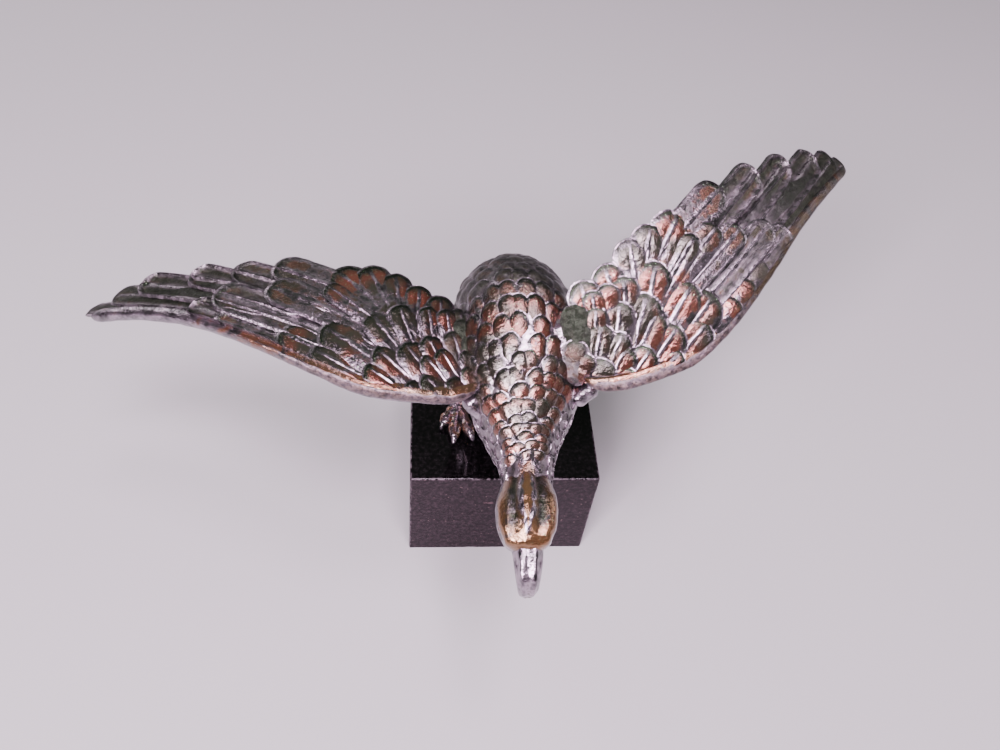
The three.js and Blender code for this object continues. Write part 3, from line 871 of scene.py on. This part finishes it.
def wing_slab(at):
    """The flat part of a wing under its feathers."""
    out_cells, back_cells = 60, 12
    out, share = np.meshgrid(
        np.linspace(0, 0.9 * wing_length, out_cells + 1),
        np.linspace(0, 1, back_cells + 1),
        indexing="ij",
    )
    rear = np.interp(out, trailing_samples[:, 0], trailing_samples[:, 1])
    back = lerp(edge_back(out) + 0.6, rear, share)
    skin = wing_skin(out, back)
    top = at(out, back, skin).reshape(-1, 3)
    low = at(out, back, -0.5 * skin - 0.4).reshape(-1, 3)
    size = len(top)
    across = back_cells + 1
    faces = []
    for i in range(out_cells):
        first, second = i * across, (i + 1) * across
        for j in range(back_cells):
            quad = [first + j, second + j, second + j + 1, first + j + 1]
            faces.append(quad)
            faces.append([size + corner for corner in reversed(quad)])
        faces.append([second, first, size + first, size + second])
        first, second = first + back_cells, second + back_cells
        faces.append([first, second, size + second, size + first])
    end = out_cells * across
    for j in range(back_cells):
        faces.append([j, j + 1, size + j + 1, size + j])
        faces.append([end + j + 1, end + j, size + end + j, size + end + j + 1])
    outer = np.tile(smooth(out, 38, 70).ravel(), 2)
    pour(np.vstack([top, low]), faces, relief=0.05, grain=0.5 * outer, patina_and_shade=0.9 * outer)


def squared(value):
    """Fills out a round section towards a square one."""
    return np.sign(value) * np.abs(value) ** 0.65


def wing_rim(at, radii, face, browned):
    """The rim along a wing's leading edge: a copper crest over a stippled front face."""
    rings = even_rings(24, 80)

    def place_at(t, side, up):
        spot = edge_curve(t)
        radius = lerp(*radii, t)
        spread = round_ends(t, 0.05)
        return at(
            spot[..., 0],
            spot[..., 1] + radius * (1 + spread * squared(side)),
            radius * (0.2 + 0.35 * (1 - smooth(t, 0.35, 0.6)) + spread * squared(up)),
        )

    points, faces = ring_form(rings, place_at)
    t, angle = ring_spots(rings)
    forward = -np.sin(angle)
    front = smooth(forward, face - 0.15, face + 0.15) * (1 - smooth(t, 0.45, 0.65))
    crest = smooth(np.cos(angle) + 0.5 * forward, 0.1, 0.4) * (1 - front)
    relief = 0.1 + 0.8 * crest * (1 - (1.2 - 0.8 * browned) * smooth(t, 0.55, 0.8))
    grain = front * 0.85 + 0.35 * browned * smooth(t, 0.6, 1)
    gold = np.maximum(crest * 0.5 * (1 - (1 - browned) * smooth(t, 0.5, 0.8)), front)
    patina_and_shade = browned * np.maximum(0.9 * smooth(t, 0.88, 0.97), 0.5 * smooth(t, 0.5, 0.7))
    pour(points, faces, *(with_poles(tone) for tone in (relief, grain, gold, patina_and_shade)))


for name, angles in wing_angles.items():
    wing_at = wing_placer(**angles)
    rim_radii = rims[name]["radii"]
    wing_slab(wing_at)
    wing_rim(wing_at, **rims[name])
    for start, end, start_radius, end_radius in shoulder_muscles:
        limb(wing_at(*start), wing_at(*end), start_radius, end_radius, 28, 20, relief=0.1)

    def on_skin(out, back, height, at=wing_at, radii=rim_radii):
        behind_rim = edge_back(out) + lerp(*radii, np.clip(out / wing_length, 0, 1))
        back = np.maximum(back, behind_rim)
        return at(out, back, wing_skin(out, back) + height)

    for lift, (length_places, lengths), feathers in wing_rows[name]:
        flight = lift == 0
        for out, back, width in feathers:
            outer, at_tip = float(smooth(out, 38, 75)), float(smooth(out, 88, 95))
            # the granular hollow between the wing and the body, darkened with painted shade
            pocket = float((1 - smooth(out, 9, 12.5)) * smooth(back, 9.5, 13))
            length = np.interp(out, length_places, lengths) * (1 if flight else underlap)
            leaf(
                (out, back), feather_angle(out, back), length, side_overlap * width, on_skin,
                root_sink=-0.3 if flight else -0.9 * lift,
                tip_rise=-0.4 if flight else 0.25 + 0.5 * lift,
                dome=0.8 + 0.3 * outer - 0.5 * at_tip,
                under=1.4 if flight else 1,
                rings=24 if flight else 16,
                shaft=0.5 if out > 10 and width > 4.8 else 0.0,
                roll=0.42 - 0.2 * outer,
                hollow=outer * (1 - 0.7 * at_tip),
                tones={
                    "grain": max(0.6 * outer, 0.85 * pocket),
                    "relief": 1 - 0.3 * outer,
                    "gold": 0.25 * outer,
                    "patina_and_shade": max(outer, pocket),
                    "even": max(0.2, 0.9 * pocket),
                },
            )


# Tail.
# A short fan of feathers that slopes down behind the rump. It doesn't show in the
# photograph and is plainer.

tail_root = np.array([1.2, 8, 66])
tail_slope, tail_fan = np.radians(52), 50
tail_count, tail_length, tail_width, tail_half_thickness = 7, 30, 7, 1.3


def on_tail(out, back, height):
    return np.stack([
        tail_root[0] + out,
        tail_root[1] + back * np.cos(tail_slope) + height * np.sin(tail_slope),
        tail_root[2] - back * np.sin(tail_slope) + height * np.cos(tail_slope),
    ], axis=-1)


for k in range(tail_count):
    share = k / (tail_count - 1) - 0.5
    angle = 90 - tail_fan * share
    length = tail_length * (1 - 0.24 * abs(share))
    tip = length * np.array([np.cos(np.radians(angle)), np.sin(np.radians(angle))])
    leaf(
        tip, angle, length, tail_width, on_tail,
        root_sink=0, tip_rise=0, dome=tail_half_thickness, under=tail_half_thickness, rings=20, shaft=0.3,
    )


# Legs and feet.
# Feathered thighs, bare shanks, and feet with three toes in front and one behind, each
# ending in a claw. They are cast with the body and stand just clear of the block.

seat_gap = 0.3
sole = block_top + seat_gap
# the places of hip and ankle are measured from the middle between the two legs
hip_middle, hip_place = 1, (7, -5, 63)
ankle_middle, ankle_place = -3.2, (9.4, -2)
knee_share, thigh_start = 0.72, -0.35
thigh_radius, knee_radius, shank_radius = 7.4, 3.6, 2.6
toe_radius, pad_radius = 1.75, 2.6
claw_length, claw_overlap, claw_tip_radius = 0.9, 1.5, 0.4
# each toe's turn out from straight ahead, and its length
toes = ((-20, 11.6), (5, 11.9), (31, 8.2), (172, 4.6))


def plumes(t, turn):
    return 0.07 * np.sin(9 * turn + 3 * np.sin(6 * t)) * smooth(t, 0.1, 0.4)


def knuckles(t, turn):
    return 0.1 * np.cos(t * 18)


for side in (-1, 1):
    hip = np.array([hip_middle + side * hip_place[0], *hip_place[1:]])
    foot = np.array([ankle_middle + side * ankle_place[0], ankle_place[1], sole])
    ankle = foot + np.array([0, 0, toe_radius])
    pour(*ball(foot + np.array([0, 0, pad_radius]), pad_radius, 2), relief=0.3)
    thigh_top, knee = lerp(hip, ankle, thigh_start), lerp(hip, ankle, knee_share)
    limb(thigh_top, knee, thigh_radius, knee_radius, 54, 30, plumes, relief=0.35)
    limb(hip, ankle, shank_radius, shank_radius, 24, 20, relief=0.3)
    for splay, toe_length in toes:
        heading = np.radians(splay)
        forward = np.array([side * np.sin(heading), -np.cos(heading), 0])
        toe_end = ankle + forward * toe_length
        claw_start = ankle + forward * (toe_length - claw_overlap)
        claw_end = toe_end + forward * claw_length
        claw_end[2] = sole + claw_tip_radius
        limb(ankle, toe_end, toe_radius, toe_radius, 20, 24, knuckles, relief=0.55, gold=0.6)
        limb(claw_start, claw_end, 0.75 * toe_radius, claw_tip_radius, 14, 12, relief=0.1)


# The casting as one piece, and its finish.
# Bright plating has worn to copper on the feathers' domes, stays silver-grey in the
# lines between them, is dark green with patina in sheltered spots and with painted shade
# on the feathers' tip ends and over the rear of the back, and is rough where the mould was.

wave_height, wave_size, wave_seed = 0.16, 2.2, 3
# Silver and copper run from dark spots to bright ones, and the rough skin's two pairs
# from the plain casting to its brassier parts.
plate_colours = {
    "silver": ((0.075, 0.067, 0.073), (0.42, 0.345, 0.405)),
    "copper": ((0.06, 0.055, 0.04), (0.19, 0.062, 0.04)),
    "brass": (0.22, 0.115, 0.045),
    "patina_and_shade": (0.022, 0.03, 0.018),
    "painted_glint": (0.45, 0.7, 0.4),
    "skin hollows": ((0.012, 0.017, 0.01), (0.035, 0.024, 0.02)),
    "skin grains": ((0.11, 0.12, 0.095), (0.26, 0.18, 0.155)),
    "grains in patina and shade": (0.03, 0.045, 0.026),
}
eagle_points = np.vstack(cast["points"])
noise.seed_set(wave_seed)
waves = np.array([noise.noise_vector(Vector(spot) / wave_size) for spot in eagle_points])
eagle = mesh_object("eagle_casting", (eagle_points + wave_height * waves) * MM, cast["faces"])
for key in tone_names:
    layer = eagle.data.attributes.new(key, "FLOAT", "POINT")
    layer.data.foreach_set("value", np.concatenate(cast[key]).astype(np.float32))
eagle.data.set_sharp_from_angle(angle=np.radians(50))

plate, tree, shader = shader_tree("worn_plate")
place = put(tree, "ShaderNodeTexCoord").outputs["Object"]
relief, grain, gold, patina_and_shade = (
    put(tree, "ShaderNodeAttribute", attribute_name=key).outputs["Fac"] for key in tone_names
)
patches = spots(tree, place, 420, 4, 0.6)
blotches = spots(tree, place, 80, 3)
ripple = spots(tree, place, 900, 2)
stipple = spots(tree, place, 1700, 4, 0.7)
glint_cells = put(tree, "ShaderNodeTexVoronoi", {"Vector": place, "Scale": 2300.0}).outputs["Distance"]
uneven = maths(tree, "SUBTRACT", patches, 0.5)
worn = fade(tree, maths(tree, "MULTIPLY_ADD", uneven, 2.4, relief), 0.35, 0.8)
silver = blend_colours(tree, fade(tree, patches, 0.35, 0.65), *plate_colours["silver"])
copper = blend_colours(tree, fade(tree, blotches, 0.42, 0.6), *plate_colours["copper"])
copper = blend_colours(tree, product(tree, gold, 0.85), copper, plate_colours["brass"])
metal = blend_colours(tree, worn, silver, copper)
# Dark green from the patina tone, which also holds painted shade.
dark_share = product(tree, patina_and_shade, fade(tree, maths(tree, "ADD", patches, blotches), 0.65, 0.95))
metal = blend_colours(tree, dark_share, metal, plate_colours["patina_and_shade"])
# Painted glints: tiny bright green-white specks of reflected light put into the colour.
painted_glint = product(tree, fade(tree, glint_cells, 0.2, 0.1), fade(tree, blotches, 0.45, 0.6), 0.7)
metal = blend_colours(tree, painted_glint, metal, plate_colours["painted_glint"])
skin_low = blend_colours(tree, gold, *plate_colours["skin hollows"])
skin_high = blend_colours(tree, gold, *plate_colours["skin grains"])
darkened = product(tree, patina_and_shade, 0.75)
skin_high = blend_colours(tree, darkened, skin_high, plate_colours["grains in patina and shade"])
speckle = maths(tree, "MULTIPLY_ADD", stipple, 0.5, product(tree, ripple, 0.5))
skin_colour = blend_colours(tree, fade(tree, speckle, 0.42, 0.58), skin_low, skin_high)
metal = blend_colours(tree, product(tree, grain, 0.85), metal, skin_colour)
tree.links.new(metal, shader.inputs["Base Color"])
rough = maths(tree, "MULTIPLY_ADD", worn, -0.05, 0.15)
rough = maths(tree, "MULTIPLY_ADD", grain, 0.3, rough)
tree.links.new(maths(tree, "MULTIPLY_ADD", patches, 0.14, rough), shader.inputs["Roughness"])
tree.links.new(maths(tree, "MULTIPLY_ADD", worn, -0.12, 0.95), shader.inputs["Metallic"])
bright = maths(tree, "MULTIPLY_ADD", grain, -0.75, 0.85)
bright = maths(tree, "MULTIPLY_ADD", dark_share, -0.75, bright)
tree.links.new(maths(tree, "MAXIMUM", bright, 0.03), shader.inputs["Coat Weight"])
shader.inputs["Coat Roughness"].default_value = 0.14
rough_cast = maths(tree, "MULTIPLY_ADD", patina_and_shade, 0.5, maths(tree, "MULTIPLY_ADD", grain, 0.9, 0.25))
fine = maths(tree, "MULTIPLY_ADD", ripple, 0.6, product(tree, stipple, rough_cast))
bump = put(tree, "ShaderNodeBump", {"Height": fine, "Strength": 0.7, "Distance": 0.4 * MM})
tree.links.new(bump.outputs["Normal"], shader.inputs["Normal"])
tree.links.new(bump.outputs["Normal"], shader.inputs["Coat Normal"])
eagle.data.materials.append(plate)
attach(eagle, "root")
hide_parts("eagle")
